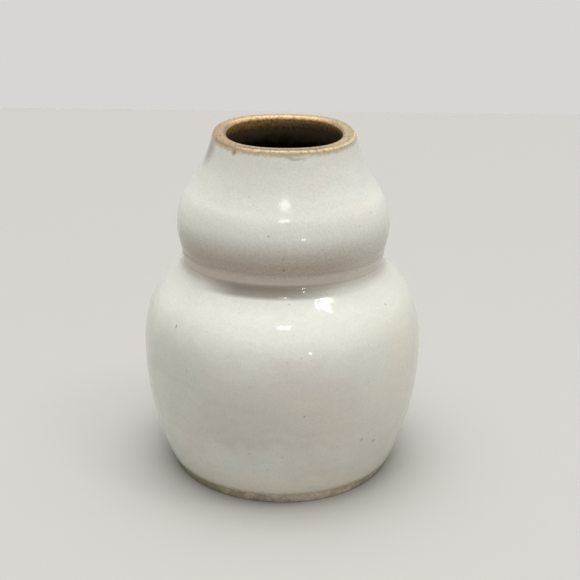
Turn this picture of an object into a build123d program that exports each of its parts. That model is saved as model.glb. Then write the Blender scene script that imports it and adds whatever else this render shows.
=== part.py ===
from build123d import *
import os
from collections import namedtuple
from math import asin, atan2, copysign, degrees, radians, sqrt, tan

# A gourd vase of thrown stoneware, in millimetres, its foot on the plane Z = 0 and its axis on Z.
# Two thrown sections are luted together at the waist, dipped in glaze outside and lined inside.

# Heights, each from the level before it, so that a change of one moves all that is above it
belly_height = 42.2
waist_rise = 34.6
bulb_rise = 8.1
lip_rise = 30.1

# Radii of the glazed outside, and how far the foot and the waist are drawn in
belly_radius = 46.6
bulb_radius = 35.0
lip_radius = 23.2
foot_inset = 8.1
waist_inset = 1.6

# Leans of the outside, in degrees from upright
shoulder_lean = 52.0
lip_lean = 16.0

# Where one bend gives way to the next, between the belly and the waist and between the bulb and the lip
shoulder_bend_share = 0.42
bulb_bend_share = 0.39

# Waist: a root radius under a short upright collar, and a tight crease above it
collar_height = 3.2
root_radius = 4.5
crease_radius = 0.8

# Clay, measured bare
clay_wall = 3.3
floor_thickness = 4.5
floor_corner_radius = 9.0
lip_edge_radius = 0.7
mouth_edge_radius = 0.5

# Turned foot: an outer bevel, a flat ring to stand on and a shallow recess inside it
bevel_height = 3.0
bevel_width = 1.0
foot_ring_width = 6.0
recess_depth = 1.5
recess_slope_width = 2.0

# Lap joint in the collar's wall, filled with slip
slip_thickness = 0.25
spigot_share = 0.8

# Glaze
glaze_coat = 0.5
bare_band_height = 0.4
lip_glaze_depth = 5.0

quarter_turn = 90
half_turn = 180
meeting_tolerance = 1e-6

# A bend of the wall. Its angles are the slopes, from level, of the line that points out of the wall.
# Its radius is that of the glazed outside, and is negative where the outside is hollow.
Bend = namedtuple("Bend", "centre radius first last")


def outward(angle):
    return Vector(1, 0).rotate(Axis.Z, angle)


def slope(direction):
    return degrees(atan2(direction.Y, direction.X))


def point_on(bend, depth, angle):
    return bend.centre + outward(angle) * (bend.radius - depth)


def at_depth(bends, depth):
    """Stretches of the wall, this deep under its outside."""
    return [(bend, depth) for bend in bends]


def backwards(stretches):
    """The same stretches of the wall, followed from the last one's end to the first one's start."""
    return [(bend._replace(first=bend.last, last=bend.first), depth) for bend, depth in reversed(stretches)]


def along_bend(bend, depth):
    middle = (bend.first + bend.last) / 2
    return ThreePointArc([point_on(bend, depth, angle) for angle in (bend.first, middle, bend.last)])


def turned(*outline):
    """The solid that a closed outline sweeps about Z. The outline has radius across and height up.
    It is a row of corner points, edges and bends at a depth, and straight lines join what is apart."""
    edges = []
    here = None
    corners = []
    for item in outline:
        edge = along_bend(*item) if isinstance(item, tuple) else item
        start, end = (edge, edge) if isinstance(edge, Vector) else (edge @ 0, edge @ 1)
        if corners and (start - here).length > meeting_tolerance:
            edges.append(Line(here, start))
        if start is not end:
            edges.append(edge)
        corners.append(start)
        here = end
    if (corners[0] - here).length > meeting_tolerance:
        edges.append(Line(here, corners[0]))
    return revolve(Plane.XZ * make_face(edges), Axis.Z)


def bend_up_to(start, end):
    """The bend from a point to another at which the wall stands upright."""
    rise, run = end.Y - start.Y, end.X - start.X
    radius = (rise**2 + run**2) / (2 * run)
    return Bend(Vector(end.X - radius, end.Y), radius, -degrees(asin(rise / radius)), 0)


def two_bends(start, start_angle, end, end_angle, first_share):
    """Two bends that carry the wall smoothly from a point and angle to another point and angle.
    The first takes first_share of the length that both together measure along their end tangents."""
    start_way, end_way = outward(start_angle + quarter_turn), outward(end_angle + quarter_turn)
    ratio = (1 - first_share) / first_share
    across = end - start
    along = across.dot(start_way + end_way * ratio)
    turn = 2 * ratio * (1 - start_way.dot(end_way))
    first_run = across.length**2 / (along + sqrt(along**2 + turn * across.length**2))
    middle_way = end - end_way * ratio * first_run - start - start_way * first_run
    middle_angle = slope(middle_way) - quarter_turn
    first_radius = first_run / tan(radians(middle_angle - start_angle) / 2)
    last_radius = ratio * first_run / tan(radians(end_angle - middle_angle) / 2)
    return (
        Bend(start - outward(start_angle) * first_radius, first_radius, start_angle, middle_angle),
        Bend(end - outward(end_angle) * last_radius, last_radius, middle_angle, end_angle),
    )


# Levels and radii worked out from the driving dimensions
collar_top = belly_height + waist_rise
bulb_height = collar_top + bulb_rise
overall_height = bulb_height + lip_rise
foot_radius = belly_radius - foot_inset
waist_radius = bulb_radius - waist_inset
floor_top = recess_depth + floor_thickness

# Depths under the glazed outside: the clay's two faces and the glazed inside
clay_face = glaze_coat
inner_clay_face = glaze_coat + clay_wall
inner_glaze_face = inner_clay_face + glaze_coat

# The lap joint halves the clay of the collar, with the spigot inside
middle_radius = waist_radius - glaze_coat - clay_wall / 2
socket_radius = middle_radius + slip_thickness / 2
spigot_radius = middle_radius - slip_thickness / 2
seat_height = collar_top - slip_thickness
spigot_bottom = collar_top - collar_height * spigot_share
rebate_height = spigot_bottom - slip_thickness
bore_radius = waist_radius - inner_clay_face
collar_radius = waist_radius - clay_face

# The outside, from the foot up
lower_wall = bend_up_to(Vector(foot_radius, bevel_height), Vector(belly_radius, belly_height))
root = Bend(
    Vector(waist_radius + root_radius, collar_top - collar_height), -root_radius, shoulder_lean, 0
)
belly, shoulder = two_bends(
    Vector(belly_radius, belly_height), 0, point_on(root, 0, shoulder_lean), shoulder_lean, shoulder_bend_share
)
crease_share = 2 * crease_radius * waist_inset / (bulb_rise**2 + waist_inset**2)
crease, underside = two_bends(
    Vector(waist_radius, collar_top), 0, Vector(bulb_radius, bulb_height), 0, crease_share
)
lip_edge = Bend(
    Vector(lip_radius, overall_height) - Vector(1, 1) * (lip_edge_radius + glaze_coat),
    lip_edge_radius + glaze_coat,
    lip_lean,
    quarter_turn,
)
bulb, flare = two_bends(
    Vector(bulb_radius, bulb_height), 0, point_on(lip_edge, 0, lip_lean), lip_lean, bulb_bend_share
)


def inner_mouth():
    """The mouth's rounded inner edge, and the flare as it runs up inside to meet it."""
    radius = mouth_edge_radius + glaze_coat
    reach = flare.radius - inner_glaze_face + radius
    level = overall_height - radius
    across = sqrt(reach**2 - (level - flare.centre.Y) ** 2)
    centre = Vector(flare.centre.X + copysign(across, reach), level)
    lean = slope((centre - flare.centre) * copysign(1, reach))
    return Bend(centre, radius, quarter_turn, half_turn + lean), flare._replace(last=lean)


def inner_foot():
    """The corner between the floor and the wall, and the lower wall as it runs inside from there."""
    radius = floor_corner_radius + inner_clay_face
    level = floor_top + floor_corner_radius
    across = sqrt((lower_wall.radius - radius) ** 2 - (level - belly_height) ** 2)
    centre = Vector(lower_wall.centre.X + across, level)
    lean = slope(centre - lower_wall.centre)
    return Bend(centre, radius, -quarter_turn, lean), lower_wall._replace(first=lean)


def angle_at(bend, depth, height):
    return degrees(asin((height - bend.centre.Y) / (bend.radius - depth)))


mouth_edge, inner_flare = inner_mouth()
floor_corner, inner_lower_wall = inner_foot()
glaze_line = bevel_height + bare_band_height
lip_glaze_end = angle_at(flare, inner_glaze_face, overall_height - lip_glaze_depth)


def lower_chamber():
    """The lower section: turned foot, floor, belly, shoulder and the collar with its rebate."""
    bevel_top = angle_at(lower_wall, clay_face, bevel_height)
    ring_outside = point_on(lower_wall, clay_face, bevel_top).X - bevel_width
    ring_inside = ring_outside - foot_ring_width
    return turned(
        Vector(0, recess_depth),
        Vector(ring_inside - recess_slope_width, recess_depth),
        Vector(ring_inside, 0),
        Vector(ring_outside, 0),
        *at_depth([lower_wall._replace(first=bevel_top), belly, shoulder, root], clay_face),
        Vector(collar_radius, seat_height),
        Vector(socket_radius, seat_height),
        Vector(socket_radius, rebate_height),
        Vector(bore_radius, rebate_height),
        *backwards(at_depth([floor_corner, inner_lower_wall, belly, shoulder, root], inner_clay_face)),
        Vector(0, floor_top),
    )


def upper_chamber():
    """The upper section: the spigot, the bulb and the neck up to its thick flat lip."""
    return turned(
        Vector(bore_radius, spigot_bottom),
        Vector(spigot_radius, spigot_bottom),
        Vector(spigot_radius, collar_top),
        *at_depth([crease, underside, bulb, flare, lip_edge, mouth_edge], clay_face),
        *backwards(at_depth([crease, underside, bulb, inner_flare], inner_clay_face)),
    )


def joint_slip():
    """The slip between the sections, a ring with a Z-shaped section."""
    return turned(
        Vector(bore_radius, rebate_height),
        Vector(socket_radius, rebate_height),
        Vector(socket_radius, seat_height),
        Vector(collar_radius, seat_height),
        Vector(collar_radius, collar_top),
        Vector(spigot_radius, collar_top),
        Vector(spigot_radius, spigot_bottom),
        Vector(bore_radius, spigot_bottom),
    )


def outer_glaze():
    """The coat outside, from a rolled edge over the bare band up to the lip's outer edge."""
    clay_end = angle_at(lower_wall, clay_face, glaze_line)
    roll_end = angle_at(lower_wall, 0, glaze_line + glaze_coat)
    roll_centre = point_on(lower_wall, clay_face, roll_end)
    roll_middle = roll_centre + outward(roll_end - quarter_turn / 2) * glaze_coat
    roll = ThreePointArc(
        point_on(lower_wall, clay_face, clay_end), roll_middle, point_on(lower_wall, 0, roll_end)
    )
    upper_bends = [belly, shoulder, root, crease, underside, bulb, flare]
    return turned(
        roll,
        *at_depth([lower_wall._replace(first=roll_end), *upper_bends], 0),
        *backwards(at_depth([lower_wall._replace(first=clay_end), *upper_bends], clay_face)),
    )


def lip_glaze():
    """The glaze over the lip, from its outer edge to a little way down inside."""
    inside = inner_flare._replace(first=lip_glaze_end)
    return turned(
        *at_depth([lip_edge, mouth_edge], 0),
        *backwards(at_depth([inside], inner_glaze_face)),
        *at_depth([inside], inner_clay_face),
        *backwards(at_depth([lip_edge, mouth_edge], clay_face)),
    )


def liner_glaze():
    """The glaze poured inside, across the floor and up the wall to the lip's glaze."""
    bends = [
        floor_corner,
        inner_lower_wall,
        belly,
        shoulder,
        root,
        crease,
        underside,
        bulb,
        flare._replace(last=lip_glaze_end),
    ]
    return turned(
        Vector(0, floor_top),
        *at_depth(bends, inner_clay_face),
        *backwards(at_depth(bends, inner_glaze_face)),
        Vector(0, floor_top + glaze_coat),
    )


os.makedirs("parts", exist_ok=True)
for piece in (lower_chamber, upper_chamber, joint_slip, outer_glaze, lip_glaze, liner_glaze):
    export_step(piece(), f"parts/{piece.__name__}.step")
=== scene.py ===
from collections import namedtuple
from math import acos, asin, atan2, ceil, copysign, cos, pi, radians, sin, sqrt, tan

import bmesh
import bpy
from bpy.props import FloatProperty, FloatVectorProperty, IntProperty, PointerProperty
from mathutils import Matrix, Vector


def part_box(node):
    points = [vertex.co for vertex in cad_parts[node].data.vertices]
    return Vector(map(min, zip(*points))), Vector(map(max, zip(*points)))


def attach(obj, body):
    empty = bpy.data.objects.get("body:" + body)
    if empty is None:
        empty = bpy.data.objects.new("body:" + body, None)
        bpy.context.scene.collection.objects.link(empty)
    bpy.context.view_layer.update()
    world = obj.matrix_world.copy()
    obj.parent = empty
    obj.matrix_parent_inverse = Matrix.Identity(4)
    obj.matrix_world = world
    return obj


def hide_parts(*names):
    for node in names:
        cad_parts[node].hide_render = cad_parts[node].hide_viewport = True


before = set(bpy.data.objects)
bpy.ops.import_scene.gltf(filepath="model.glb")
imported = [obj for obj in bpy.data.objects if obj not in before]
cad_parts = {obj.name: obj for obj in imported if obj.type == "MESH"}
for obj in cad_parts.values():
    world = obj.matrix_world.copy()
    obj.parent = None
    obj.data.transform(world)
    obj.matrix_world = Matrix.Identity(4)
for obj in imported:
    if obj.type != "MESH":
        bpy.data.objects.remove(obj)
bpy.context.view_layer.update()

bl_info = {
    "name": "Gourd vase",
    "version": (1, 0, 0),
    "blender": (4, 5, 0),
    "location": "3D View > Sidebar > Vase",
    "description": "A thrown and glazed gourd vase with its clay, slip and glazes as separate pieces",
    "category": "Object",
}

MM = 0.001
BODY = "root"
RIGHT_ANGLE = pi / 2
# Thickness of every glaze coat, in millimetres
COAT = 0.5
# Steps in the roll at the outer glaze's lower edge, and in each softened corner
ROLL_STEPS = 6
ARC_STEPS = 4


def linear(colour):
    """Linear colour with full alpha from an sRGB hex value."""
    parts = [int(colour[k : k + 2], 16) / 255 for k in (0, 2, 4)]
    return tuple(c / 12.92 if c <= 0.04045 else ((c + 0.055) / 1.055) ** 2.4 for c in parts) + (1.0,)


def length(description, millimetres):
    return FloatProperty(description=description, default=millimetres * MM, unit="LENGTH", precision=5)


def share(description, value):
    return FloatProperty(description=description, default=value, min=0, max=1, subtype="FACTOR")


def angle(description, degrees):
    return FloatProperty(description=description, default=radians(degrees), unit="ROTATION")


def colour(description, value):
    look = {"default": linear(value), "size": 4, "min": 0, "max": 1, "subtype": "COLOR"}
    return FloatVectorProperty(description=description, **look)


def labelled(group):
    """The group, with each of its properties named in plain words, such as Belly radius for belly_radius."""
    for name, prop in group.__annotations__.items():
        prop.keywords["name"] = name.replace("_", " ").capitalize()
    return group


_, glaze_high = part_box("outer_glaze")
_, lip_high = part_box("lip_glaze")
_, bulb_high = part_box("upper_chamber")


@labelled
class VaseForm(bpy.types.PropertyGroup):
    """The turned form, as the frame has it."""

    height: length("From the foot to the lip", lip_high.z / MM)
    belly_radius: length("Widest radius of the lower body", glaze_high.x / MM)
    belly_height: length("Level of the widest belly", 42.2)
    waist_height: length("Level of the crease between the two bodies", 76.8)
    bulb_rise: length("From the crease up to the widest bulb", 8.1)
    bulb_radius: length("Widest radius of the bulb, glazed", bulb_high.x / MM + COAT)
    lip_radius: length("Outer radius of the lip", 23.2)
    foot_inset: length("How far the foot is drawn in under the belly", 8.1)
    waist_inset: length("How far the waist is drawn in under the bulb", 1.6)
    shoulder_lean: angle("Lean of the shoulder where it meets the waist's root", 52)
    lip_lean: angle("Lean of the neck where it meets the lip", 16)
    shoulder_share: share("Where the belly's bend gives way to the shoulder's", 0.42)
    bulb_share: share("Where the bulb's bend gives way to the neck's", 0.39)
    collar_height: length("Upright band under the crease", 3.2)
    root_radius: length("Hollow between the shoulder and the collar", 4.5)
    crease_radius: length("Tight hollow over the collar", 0.8)
    clay_wall: length("Thickness of the bare clay wall", 3.3)
    floor_level: length("Height of the clay floor inside", 6)
    floor_corner: length("Radius between floor and wall inside", 9)
    lip_edge: length("Radius of the clay lip's outer edge", 0.7)
    mouth_edge: length("Radius of the clay lip's inner edge", 0.5)
    bevel_height: length("Height of the bare bevel round the foot", 3)
    bevel_width: length("Width of the bare bevel round the foot", 1)
    ring_width: length("Width of the ring that the foot stands on", 6)
    recess_depth: length("Depth of the hollow turned under the foot", 1.5)
    recess_slope: length("Width of the slope inside the foot ring", 2)
    turned_edge: length("Softness of the foot's turned edges", 0.35)
    slip: length("Thickness of the slip in the joint", 0.25)
    spigot_share: share("The spigot's length in the collar, as a share of it", 0.8)
    glaze: length("Thickness of every glaze coat", COAT)
    bare_band: length("Bare clay between the bevel and the glaze", 0.4)
    lip_glaze_depth: length("How far the lip's glaze goes down inside", 5)


@labelled
class VaseHand(bpy.types.PropertyGroup):
    """What the thrower's hand and the kiln leave on the form."""

    steps_around: IntProperty(description="Faces round the axis", default=300, min=12)
    fine_step: length("Spacing of the mesh on surfaces that show", 0.6)
    coarse_step: length("Spacing of the mesh on surfaces that don't show", 3)
    spiral_depth: length("Depth of the throwing spiral", 0.018)
    spiral_pitch: length("Rise of the throwing spiral in one turn", 4.2)
    wander: length("How far the wall is out of round", 0.16)
    lip_wave: length("How far the lip is out of level", 0.12)
    lip_tilt: length("How far the lip stands higher at the back than at its middle", 0.5)
    lip_sway: length("How far the lip rises and falls three times round", 0.25)
    glaze_wave: length("How far the glaze's lower edge wanders", 0.45)
    seam_wave: length("How far the seam at the waist is out of level", 0.7)
    seam_lift: length("How far the seam stands over its even level", 0.2)
    seam_depth: length("Depth of the groove that the seam leaves in the glaze", 0.16)
    seam_roll: length("How far the collar's upper edge stands out under the groove", 0.15)
    collar_line: length("Depth of the line under the collar", 0.15)
    lip_groove: length("Depth of the groove round the lip's flat top", 0.14)
    seed: IntProperty(description="Seed of all the random wander", default=11)


@labelled
class VaseColours(bpy.types.PropertyGroup):
    """Colours of the fired glazes and the clay. Some carry painted light and some painted shade."""

    cream: colour("Main colour of the outer glaze", "E9E7DC")
    # Painted light: paler patches on the shoulder and on the bulb's sides
    milk: colour("Where the outer glaze is thick and white", "F5F4E9")
    # Painted shade: darker patches on the lower belly and under the lip
    shade: colour("Where the outer glaze ran thinner on the lower belly", "D5D0C4")
    cool: colour("Where the outer glaze is thick and bluish", "E7EAE3")
    blush: colour("Where the clay's iron warms the outer glaze", "E2DBD0")
    mauve: colour("Faint mauve cloud in the outer glaze", "DEDAD8")
    moss: colour("Faint greenish cloud in the outer glaze", "E1E4D8")
    # Partly glaze pooled thick, partly painted light: paler by the foot and on the belly's right
    foot_warm: colour("Where the outer glaze runs out over the foot", "F1ECDC")
    run: colour("Thin edge of the outer glaze over the foot", "C4BDA4")
    # These three are partly glaze wiped thin and partly painted shade: darker under the bulb and over the
    # collar, and a painted shadow in the hollow under the collar
    waist: colour("Outer glaze wiped thin under the bulb", "BEB5A5")
    collar: colour("Outer glaze over the collar", "CFC5B6")
    root: colour("Outer glaze in the hollow under the collar", "9A9183")
    thin: colour("Outer glaze thin enough to show the clay", "C2B092")
    thin_shade: colour("Thin grey-brown run below the lip", "958A76")
    speck: colour("Iron specks that bleed through the glaze", "75685A")
    iron: colour("Iron burnt through at the lip", "6E4A28")
    # Partly a painted highlight: paler along the lip's inner edge
    pale_edge: colour("The lip's inner edge", "C0B298")
    taupe: colour("The lip's flat top", "A28C69")
    taupe_dark: colour("The shallow groove in the lip's top", "876C42")
    tan: colour("The lip's top on the left", "AE916B")
    rust: colour("The lip's outer part on the left", "9F825F")
    olive_dark: colour("The lip's outer part on the right", "A59767")
    # Partly painted light: the pooled glaze inside the mouth made brighter than it is
    amber: colour("Lip glaze pooled and glassy", "F0B864")
    # Partly a painted highlight along the lip's crest, over glaze broken thin
    gold: colour("Lip glaze broken thin over an edge", "D6C196")
    honey: colour("The lip's top at the back, where its glaze is glassy", "AE9B74")
    # The glaze's own warm brown with painted light on it: a painted glint on the inner edge at the back, and
    # brighter just inside the mouth
    caramel: colour("The lip's inner edge at the back", "F6C888")
    olive: colour("The lip's top on the right", "B09A79")
    # Partly a painted sheen: lighter brown inside, near the mouth
    umber: colour("Glaze inside, near the mouth", "86755E")
    black: colour("Liner deep inside", "15100C")
    # Paler than the bare clay's own buff: painted light where the bevel faces down into shade
    clay: colour("Bare toasted stoneware", "EEE1CD")
    # Scorched patches, with painted shade towards the foot's sides
    clay_dark: colour("Scorched clay", "B2AA8F")
    slip: colour("Slip that lutes the joint", "B5A78E")
    floor: colour("Plain pale floor", "BCB9B5")
    backdrop: colour("Plain pale background", "D8D6D4")


@labelled
class VaseLight(bpy.types.PropertyGroup):
    """The soft light of the sky. The lamps that give the glaze its highlights belong to the stage."""

    sky_low: FloatProperty(description="Brightness near the horizon", default=0.03)
    sky_high: FloatProperty(description="Brightness overhead", default=5.25)
    sky_power: FloatProperty(description="How quickly it grows upwards", default=6.5)


# The outline. A bend's angles are those of the line that points out of the wall, from level.
# Its radius is that of the glazed outside, and is negative where the outside is hollow.
Bend = namedtuple("Bend", "centre radius first last")


def outward(angle):
    return Vector((cos(angle), sin(angle)))


def slope(direction):
    return atan2(direction.y, direction.x)


def point_on(bend, depth, angle):
    return bend.centre + outward(angle) * (bend.radius - depth)


def angle_at(bend, depth, height):
    return asin((height - bend.centre.y) / (bend.radius - depth))


def bend_up_to(start, end):
    """The bend from a point to another at which the wall stands upright."""
    rise, run = end.y - start.y, end.x - start.x
    radius = (rise**2 + run**2) / (2 * run)
    return Bend(Vector((end.x - radius, end.y)), radius, -asin(rise / radius), 0)


def two_bends(start, start_angle, end, end_angle, first_share):
    """Two bends that carry the wall smoothly from a point and angle to another point and angle."""
    start_way, end_way = outward(start_angle + RIGHT_ANGLE), outward(end_angle + RIGHT_ANGLE)
    ratio = (1 - first_share) / first_share
    across = end - start
    along = across.dot(start_way + end_way * ratio)
    turn = 2 * ratio * (1 - start_way.dot(end_way))
    first_run = across.length**2 / (along + sqrt(along**2 + turn * across.length**2))
    middle_way = end - end_way * ratio * first_run - start - start_way * first_run
    middle_angle = slope(middle_way) - RIGHT_ANGLE
    first_radius = first_run / tan((middle_angle - start_angle) / 2)
    last_radius = ratio * first_run / tan((end_angle - middle_angle) / 2)
    return (
        Bend(start - outward(start_angle) * first_radius, first_radius, start_angle, middle_angle),
        Bend(end - outward(end_angle) * last_radius, last_radius, middle_angle, end_angle),
    )


class Wall:
    """The vase's wall as bends, and the levels and radii that the pieces share."""

    def __init__(self, form):
        self.form = form
        self.clay_face = form.glaze
        self.inner_clay = form.glaze + form.clay_wall
        self.inner_glaze = self.inner_clay + form.glaze
        waist_radius = form.bulb_radius - form.waist_inset
        self.lower = bend_up_to(
            Vector((form.belly_radius - form.foot_inset, form.bevel_height)),
            Vector((form.belly_radius, form.belly_height)),
        )
        self.root = Bend(
            Vector((waist_radius + form.root_radius, form.waist_height - form.collar_height)),
            -form.root_radius,
            form.shoulder_lean,
            0,
        )
        self.belly, self.shoulder = two_bends(
            Vector((form.belly_radius, form.belly_height)),
            0,
            point_on(self.root, 0, form.shoulder_lean),
            form.shoulder_lean,
            form.shoulder_share,
        )
        widest = Vector((form.bulb_radius, form.waist_height + form.bulb_rise))
        crease_share = 2 * form.crease_radius * form.waist_inset / (form.bulb_rise**2 + form.waist_inset**2)
        self.crease, self.underside = two_bends(
            Vector((waist_radius, form.waist_height)), 0, widest, 0, crease_share
        )
        edge = form.lip_edge + form.glaze
        self.lip_edge = Bend(
            Vector((form.lip_radius - edge, form.height - edge)), edge, form.lip_lean, RIGHT_ANGLE
        )
        self.bulb, self.flare = two_bends(
            widest, 0, point_on(self.lip_edge, 0, form.lip_lean), form.lip_lean, form.bulb_share
        )
        self.lower_bends = (self.belly, self.shoulder, self.root)
        self.upper_bends = (self.crease, self.underside, self.bulb)
        self.mouth_edge, self.inner_flare = self.inner_mouth()
        self.corner, self.inner_lower = self.inner_foot()
        self.liner_end = angle_at(self.flare, self.inner_glaze, form.height - form.lip_glaze_depth)

        # The lap joint: radii of the collar, the bore, and the slip's faces to socket and spigot
        collar, bore = waist_radius - self.clay_face, waist_radius - self.inner_clay
        socket = collar - form.clay_wall / 2 + form.slip / 2
        spigot = collar - form.clay_wall / 2 - form.slip / 2
        # Levels of the crease, the collar's top, the spigot's end and the rebate that it seats in
        crease, seat = form.waist_height, form.waist_height - form.slip
        spigot_end = form.waist_height - form.collar_height * form.spigot_share
        rebate = spigot_end - form.slip
        self.socket = [Vector(c) for c in ((collar, seat), (socket, seat), (socket, rebate), (bore, rebate))]
        self.spigot = [Vector(c) for c in ((bore, spigot_end), (spigot, spigot_end), (spigot, crease))]
        self.joint_top = Vector((collar, crease))

    def inner_mouth(self):
        radius = self.form.mouth_edge + self.form.glaze
        reach = self.flare.radius - self.inner_glaze + radius
        level = self.form.height - radius
        across = sqrt(reach**2 - (level - self.flare.centre.y) ** 2)
        centre = Vector((self.flare.centre.x + copysign(across, reach), level))
        lean = slope((centre - self.flare.centre) * copysign(1, reach))
        return Bend(centre, radius, RIGHT_ANGLE, pi + lean), self.flare._replace(last=lean)

    def inner_foot(self):
        radius = self.form.floor_corner + self.inner_clay
        level = self.form.floor_level + self.form.floor_corner
        across = sqrt((self.lower.radius - radius) ** 2 - (level - self.form.belly_height) ** 2)
        centre = Vector((self.lower.centre.x + across, level))
        lean = slope(centre - self.lower.centre)
        return Bend(centre, radius, -RIGHT_ANGLE, lean), self.lower._replace(first=lean)


def along(bends, depth, step):
    """Points along bends at one depth, about a step apart."""
    points = []
    for bend in bends:
        sweep = bend.last - bend.first
        count = max(3, ceil(abs(sweep * (bend.radius - depth)) / step))
        points += [point_on(bend, depth, bend.first + sweep * k / count) for k in range(count + 1)]
    return points


def softened(corners, radius):
    """The corner points, each but the first and last turned into a small arc."""
    points = [corners[0]]
    for before, corner, after in zip(corners, corners[1:], corners[2:]):
        arrive, leave = (corner - before).normalized(), (after - corner).normalized()
        half_turn = acos(max(-1, min(1, arrive.dot(leave)))) / 2
        reach = radius * tan(half_turn)
        start, end = corner - arrive * reach, corner + leave * reach
        for k in range(ARC_STEPS + 1):
            t = k / ARC_STEPS
            points.append(start.lerp(corner, t).lerp(corner.lerp(end, t), t))
    return points + [corners[-1]]


def joined(points, step):
    """The points without doubles, with more on long straight runs."""
    tidy = [points[0]]
    for point in points[1:]:
        gap = (point - tidy[-1]).length
        if gap < MM / 1000:
            continue
        count = ceil(gap / step)
        tidy += [tidy[-1].lerp(point, k / count) for k in range(1, count + 1)]
    return tidy


def bulge(distance, half_width):
    """A smooth hump, one high at no distance and gone at the half width."""
    return max(0, 1 - (distance / half_width) ** 2) ** 2


def seamed(points, form, hand):
    """The outline with a groove where the bulb meets the collar, the collar's rolled edge below it, and a
    line under the collar."""
    crease, collar_foot = form.waist_height, form.waist_height - form.collar_height
    # Each mark's level and half width, and how far the wall stands out there
    marks = (
        (crease + 0.35 * MM, 0.9 * MM, -hand.seam_depth),
        (crease - 0.85 * MM, 1.2 * MM, hand.seam_roll),
        (collar_foot - 0.2 * MM, 0.7 * MM, -hand.collar_line),
    )
    for point in points:
        for level, half_width, rise in marks:
            point.x += rise * bulge(point.y - level, half_width)
    return points


# Kinds of node, some of them with settings
NOISE = "ShaderNodeTexNoise"
RAMP = "ShaderNodeValToRGB"
PARTS = "ShaderNodeSeparateXYZ"
RANGE = "ShaderNodeMapRange"
EASED_RANGE = ("ShaderNodeMapRange", {"interpolation_type": "SMOOTHSTEP"})
COLOUR_MIX = ("ShaderNodeMix", {"data_type": "RGBA"})
PLUS, MINUS, TIMES, TIMES_PLUS, OVER, POWER, LARGER, ABOVE, BELOW, SIZE_OF, SINE, COSINE = [
    ("ShaderNodeMath", {"operation": operation})
    for operation in (
        "ADD", "SUBTRACT", "MULTIPLY", "MULTIPLY_ADD", "DIVIDE", "POWER", "MAXIMUM", "GREATER_THAN",
        "LESS_THAN", "ABSOLUTE", "SINE", "COSINE",
    )
]
VECTOR_MINUS, VECTOR_TIMES, VECTOR_TIMES_PLUS, VECTOR_LENGTH, DIRECTION = [
    ("ShaderNodeVectorMath", {"operation": operation})
    for operation in ("SUBTRACT", "MULTIPLY", "MULTIPLY_ADD", "LENGTH", "NORMALIZE")
]


# One function adds every node, in geometry and shader trees alike
def add(tree, kind, values=(), stops=(), **settings):
    """Add a node of a kind, which may bring settings with it. values go to its inputs, in their order or by
    name, as plain values or as sockets or nodes to link from. stops fill a colour ramp. Anything else is a
    setting of the node."""
    kind, own_settings = kind if isinstance(kind, tuple) else (kind, {})
    node = tree.nodes.new(kind)
    for name, setting in {**own_settings, **settings}.items():
        setattr(node, name, setting)
    if not isinstance(values, dict):
        values = dict(enumerate(values))
    for key, value in values.items():
        named = [s for s in node.inputs if s.enabled and s.name == key]
        socket = node.inputs[key] if isinstance(key, int) else named[0]
        if isinstance(value, bpy.types.Node):
            value = next(s for s in value.outputs if s.enabled)
        if isinstance(value, bpy.types.NodeSocket):
            tree.links.new(value, socket)
        else:
            socket.default_value = value
    for place, (position, stop_colour) in enumerate(stops):
        elements = node.color_ramp.elements
        element = elements[place] if place < 2 else elements.new(position)
        element.position, element.color = position, stop_colour
    return node


def swinging(tree, values, **settings):
    """Noise that swings to both sides of nothing."""
    noise = add(tree, NOISE, values, **settings)
    return add(tree, PLUS, (noise, -0.5))


def off_level(tree, value, level):
    """How far a value is off a level, up or down."""
    gap = add(tree, MINUS, (value, level))
    return add(tree, SIZE_OF, (gap,))


def way_out(tree, place):
    """The level way out from the axis, one long, as sockets for its parts."""
    flat = add(tree, VECTOR_TIMES, (place, (1, 1, 0)))
    way = add(tree, DIRECTION, (flat,))
    return add(tree, PARTS, (way,)).outputs


def shifted(tree, start, shift, value, low, high, first=0.0, last=1.0):
    """The start plus a share of the shift. The share eases from first to last while the value goes from low
    to high."""
    part = add(tree, EASED_RANGE, (value, low, high, first, last))
    return add(tree, TIMES_PLUS, (shift, part, start))


def tinted(tree, tint, other, value, low, high, first=0.0, last=1.0):
    """The tint with a share of another colour. The share eases from first to last while the value goes from
    low to high."""
    part = add(tree, EASED_RANGE, (value, low, high, first, last))
    return add(tree, COLOUR_MIX, {"Factor": part, "A": tint, "B": other})


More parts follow.
